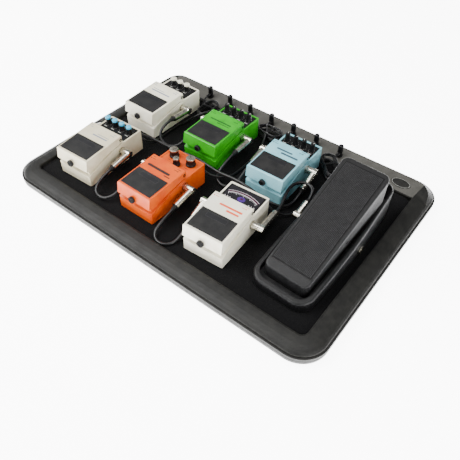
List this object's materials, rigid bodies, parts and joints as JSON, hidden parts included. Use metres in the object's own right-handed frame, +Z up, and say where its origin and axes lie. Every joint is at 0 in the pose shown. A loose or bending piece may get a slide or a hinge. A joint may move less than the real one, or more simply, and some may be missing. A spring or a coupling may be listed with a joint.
{
  "type": "guitar pedal case",
  "caption": "Moulded tray case holding compact guitar effect pedals and a treadle wah pedal, wired together with patch leads and powered from a rear console.",
  "frame": {"origin": "centre of the tray's footprint, on the ground under its rubber feet", "axes": "+X to the player's right along the long side, +Y away from the player towards the power console, +Z up"},
  "size_m": [0.5996, 0.4228, 0.113],
  "materials": {
    "battery_sleeve": "satin",
    "black_knob": "matte",
    "black_plastic": "satin",
    "blue_knob": "satin",
    "carpet": "matte",
    "case_plastic": "satin",
    "chorus_paint": "satin",
    "circuit_board": "satin",
    "cover_plastic": "matte",
    "delay_paint": "satin",
    "display_panel": "gloss",
    "distortion_paint": "satin",
    "lead_jacket": "satin",
    "metal_knob": "gloss",
    "nickel": "polished",
    "noise_gate_paint": "satin",
    "panel_black": "satin",
    "phaser_paint": "satin",
    "red_lens": "gloss",
    "rubber": "matte",
    "steel": "satin",
    "tuner_paint": "satin",
    "wah_paint": "matte",
    "white_knob": "satin"
  },
  "bodies": {
    "pedalboard": {"base_cover": "cover_plastic", "batteries": "battery_sleeve", "case_feet": "rubber", "case_screws": "steel", "case_shell": "case_plastic", "chorus_housing": "chorus_paint", "circuit_boards": "circuit_board", "control_panels": "panel_black", "dc_lead_coils": "lead_jacket", "dc_leads": "lead_jacket", "dc_plugs": "black_plastic", "dc_sockets": "black_plastic", "delay_housing": "delay_paint", "distortion_housing": "distortion_paint", "floor_lining": "carpet", "foot_switches": "black_plastic", "indicator_leds": "red_lens", "input_jack": "nickel", "jack_sockets": "nickel", "noise_gate_housing": "noise_gate_paint", "output_jack": "nickel", "patch_leads": "lead_jacket", "patch_plugs": "nickel", "pedal_base_plates": "rubber", "phaser_housing": "phaser_paint", "tuner_display": "display_panel", "tuner_housing": "tuner_paint", "wah_base": "wah_paint", "wah_pivot_pin": "steel"},
    "delay_treadle": {"delay_treadle": "delay_paint"},
    "delay_thumbscrew": {"delay_thumbscrew": "black_knob"},
    "delay_knob_1": {"delay_knob_1": "blue_knob"},
    "delay_knob_2": {"delay_knob_2": "blue_knob"},
    "delay_knob_3": {"delay_knob_3": "blue_knob"},
    "delay_knob_4": {"delay_knob_4": "blue_knob"},
    "noise_gate_treadle": {"noise_gate_treadle": "noise_gate_paint"},
    "noise_gate_thumbscrew": {"noise_gate_thumbscrew": "black_knob"},
    "noise_gate_knob_1": {"noise_gate_knob_1": "white_knob"},
    "noise_gate_knob_2": {"noise_gate_knob_2": "white_knob"},
    "noise_gate_knob_3": {"noise_gate_knob_3": "white_knob"},
    "distortion_treadle": {"distortion_treadle": "distortion_paint"},
    "distortion_thumbscrew": {"distortion_thumbscrew": "black_knob"},
    "distortion_knob_1": {"distortion_knob_1": "metal_knob"},
    "distortion_knob_2": {"distortion_knob_2": "metal_knob"},
    "distortion_knob_3": {"distortion_knob_3": "metal_knob"},
    "phaser_treadle": {"phaser_treadle": "phaser_paint"},
    "phaser_thumbscrew": {"phaser_thumbscrew": "black_knob"},
    "phaser_knob_1": {"phaser_knob_1": "black_knob"},
    "phaser_knob_2": {"phaser_knob_2": "black_knob"},
    "phaser_knob_3": {"phaser_knob_3": "black_knob"},
    "phaser_knob_4": {"phaser_knob_4": "black_knob"},
    "chorus_treadle": {"chorus_treadle": "chorus_paint"},
    "chorus_thumbscrew": {"chorus_thumbscrew": "black_knob"},
    "chorus_knob_1": {"chorus_knob_1": "black_knob"},
    "chorus_knob_2": {"chorus_knob_2": "black_knob"},
    "chorus_knob_3": {"chorus_knob_3": "black_knob"},
    "chorus_knob_4": {"chorus_knob_4": "black_knob"},
    "tuner_treadle": {"tuner_treadle": "tuner_paint"},
    "tuner_thumbscrew": {"tuner_thumbscrew": "black_knob"},
    "wah_treadle": {"wah_treadle": "wah_paint"}
  },
  "joints": [
    {"name": "delay_treadle_hinge", "type": "hinge", "parent": "pedalboard", "child": "delay_treadle", "pos_m": [-0.20126, -0.07596, 0.0655], "axis": [-0.9992, -0.0401, 0], "range_deg": [-2.5, 60], "stiffness_Nm_per_rad": 0.6, "springref_deg": 2.66},
    {"name": "delay_thumbscrew_turn", "type": "hinge", "parent": "delay_treadle", "child": "delay_thumbscrew", "pos_m": [-0.19802, -0.1567, 0.0535], "axis": [0.0401, -0.9992, 0], "range_deg": [-180, 180]},
    {"name": "delay_knob_1_turn", "type": "hinge", "parent": "pedalboard", "child": "delay_knob_1", "pos_m": [-0.22692, -0.04627, 0.062], "axis": [0, 0, 1], "range_deg": [-150, 150]},
    {"name": "delay_knob_2_turn", "type": "hinge", "parent": "pedalboard", "child": "delay_knob_2", "pos_m": [-0.21064, -0.04562, 0.062], "axis": [0, 0, 1], "range_deg": [-150, 150]},
    {"name": "delay_knob_3_turn", "type": "hinge", "parent": "pedalboard", "child": "delay_knob_3", "pos_m": [-0.19435, -0.04496, 0.062], "axis": [0, 0, 1], "range_deg": [-150, 150]},
    {"name": "delay_knob_4_turn", "type": "hinge", "parent": "pedalboard", "child": "delay_knob_4", "pos_m": [-0.17806, -0.04431, 0.062], "axis": [0, 0, 1], "range_deg": [-150, 150]},
    {"name": "noise_gate_treadle_hinge", "type": "hinge", "parent": "pedalboard", "child": "noise_gate_treadle", "pos_m": [-0.20716, 0.08769, 0.0655], "axis": [-0.9999, 0.0157, 0], "range_deg": [-2.5, 60], "stiffness_Nm_per_rad": 0.6, "springref_deg": 2.66},
    {"name": "noise_gate_thumbscrew_turn", "type": "hinge", "parent": "noise_gate_treadle", "child": "noise_gate_thumbscrew", "pos_m": [-0.20843, 0.0069, 0.0535], "axis": [-0.0157, -0.9999, 0], "range_deg": [-180, 180]},
    {"name": "noise_gate_knob_1_turn", "type": "hinge", "parent": "pedalboard", "child": "noise_gate_knob_1", "pos_m": [-0.22344, 0.12135, 0.062], "axis": [0, 0, 1], "range_deg": [-150, 150]},
    {"name": "noise_gate_knob_2_turn", "type": "hinge", "parent": "pedalboard", "child": "noise_gate_knob_2", "pos_m": [-0.20664, 0.12109, 0.062], "axis": [0, 0, 1], "range_deg": [-150, 150]},
    {"name": "noise_gate_knob_3_turn", "type": "hinge", "parent": "pedalboard", "child": "noise_gate_knob_3", "pos_m": [-0.18984, 0.12082, 0.062], "axis": [0, 0, 1], "range_deg": [-150, 150]},
    {"name": "distortion_treadle_hinge", "type": "hinge", "parent": "pedalboard", "child": "distortion_treadle", "pos_m": [-0.05911, -0.0744, 0.0655], "axis": [-1, 0.0087, 0], "range_deg": [-2.5, 60], "stiffness_Nm_per_rad": 0.6, "springref_deg": 2.66},
    {"name": "distortion_thumbscrew_turn", "type": "hinge", "parent": "distortion_treadle", "child": "distortion_thumbscrew", "pos_m": [-0.05982, -0.1552, 0.0535], "axis": [-0.0087, -1, 0], "range_deg": [-180, 180]},
    {"name": "distortion_knob_1_turn", "type": "hinge", "parent": "pedalboard", "child": "distortion_knob_1", "pos_m": [-0.07682, -0.04105, 0.062], "axis": [0, 0, 1], "range_deg": [-150, 150]},
    {"name": "distortion_knob_2_turn", "type": "hinge", "parent": "pedalboard", "child": "distortion_knob_2", "pos_m": [-0.05895, -0.056, 0.062], "axis": [0, 0, 1], "range_deg": [-150, 150]},
    {"name": "distortion_knob_3_turn", "type": "hinge", "parent": "pedalboard", "child": "distortion_knob_3", "pos_m": [-0.04082, -0.04136, 0.062], "axis": [0, 0, 1], "range_deg": [-150, 150]},
    {"name": "phaser_treadle_hinge", "type": "hinge", "parent": "pedalboard", "child": "phaser_treadle", "pos_m": [-0.06431, 0.0853, 0.0655], "axis": [-1, -0.0052, 0], "range_deg": [-2.5, 60], "stiffness_Nm_per_rad": 0.6, "springref_deg": 2.66},
    {"name": "phaser_thumbscrew_turn", "type": "hinge", "parent": "phaser_treadle", "child": "phaser_thumbscrew", "pos_m": [-0.06389, 0.0045, 0.0535], "axis": [0.0052, -1, 0], "range_deg": [-180, 180]},
    {"name": "phaser_knob_1_turn", "type": "hinge", "parent": "pedalboard", "child": "phaser_knob_1", "pos_m": [-0.08892, 0.11587, 0.062], "axis": [0, 0, 1], "range_deg": [-150, 150]},
    {"name": "phaser_knob_2_turn", "type": "hinge", "parent": "pedalboard", "child": "phaser_knob_2", "pos_m": [-0.07262, 0.11596, 0.062], "axis": [0, 0, 1], "range_deg": [-150, 150]},
    {"name": "phaser_knob_3_turn", "type": "hinge", "parent": "pedalboard", "child": "phaser_knob_3", "pos_m": [-0.05632, 0.11604, 0.062], "axis": [0, 0, 1], "range_deg": [-150, 150]},
    {"name": "phaser_knob_4_turn", "type": "hinge", "parent": "pedalboard", "child": "phaser_knob_4", "pos_m": [-0.04002, 0.11613, 0.062], "axis": [0, 0, 1], "range_deg": [-150, 150]},
    {"name": "chorus_treadle_hinge", "type": "hinge", "parent": "pedalboard", "child": "chorus_treadle", "pos_m": [0.06968, 0.08358, 0.0655], "axis": [-0.9997, -0.0244, 0], "range_deg": [-2.5, 60], "stiffness_Nm_per_rad": 0.6, "springref_deg": 2.66},
    {"name": "chorus_thumbscrew_turn", "type": "hinge", "parent": "chorus_treadle", "child": "chorus_thumbscrew", "pos_m": [0.07165, 0.0028, 0.0535], "axis": [0.0244, -0.9997, 0], "range_deg": [-180, 180]},
    {"name": "chorus_knob_1_turn", "type": "hinge", "parent": "pedalboard", "child": "chorus_knob_1", "pos_m": [0.04448, 0.11367, 0.062], "axis": [0, 0, 1], "range_deg": [-150, 150]},
    {"name": "chorus_knob_2_turn", "type": "hinge", "parent": "pedalboard", "child": "chorus_knob_2", "pos_m": [0.06078, 0.11407, 0.062], "axis": [0, 0, 1], "range_deg": [-150, 150]},
    {"name": "chorus_knob_3_turn", "type": "hinge", "parent": "pedalboard", "child": "chorus_knob_3", "pos_m": [0.07707, 0.11447, 0.062], "axis": [0, 0, 1], "range_deg": [-150, 150]},
    {"name": "chorus_knob_4_turn", "type": "hinge", "parent": "pedalboard", "child": "chorus_knob_4", "pos_m": [0.09337, 0.11486, 0.062], "axis": [0, 0, 1], "range_deg": [-150, 150]},
    {"name": "tuner_treadle_hinge", "type": "hinge", "parent": "pedalboard", "child": "tuner_treadle", "pos_m": [0.07322, -0.07756, 0.0655], "axis": [-0.9979, -0.0645, 0], "range_deg": [-2.5, 60], "stiffness_Nm_per_rad": 0.6, "springref_deg": 2.66},
    {"name": "tuner_thumbscrew_turn", "type": "hinge", "parent": "tuner_treadle", "child": "tuner_thumbscrew", "pos_m": [0.07843, -0.1582, 0.0535], "axis": [0.0645, -0.9979, 0], "range_deg": [-180, 180]},
    {"name": "wah_rocker", "type": "hinge", "parent": "pedalboard", "child": "wah_treadle", "pos_m": [0.20494, -0.03313, 0.061], "axis": [-0.9996, 0.0279, 0], "range_deg": [0, 18]}
  ]
}
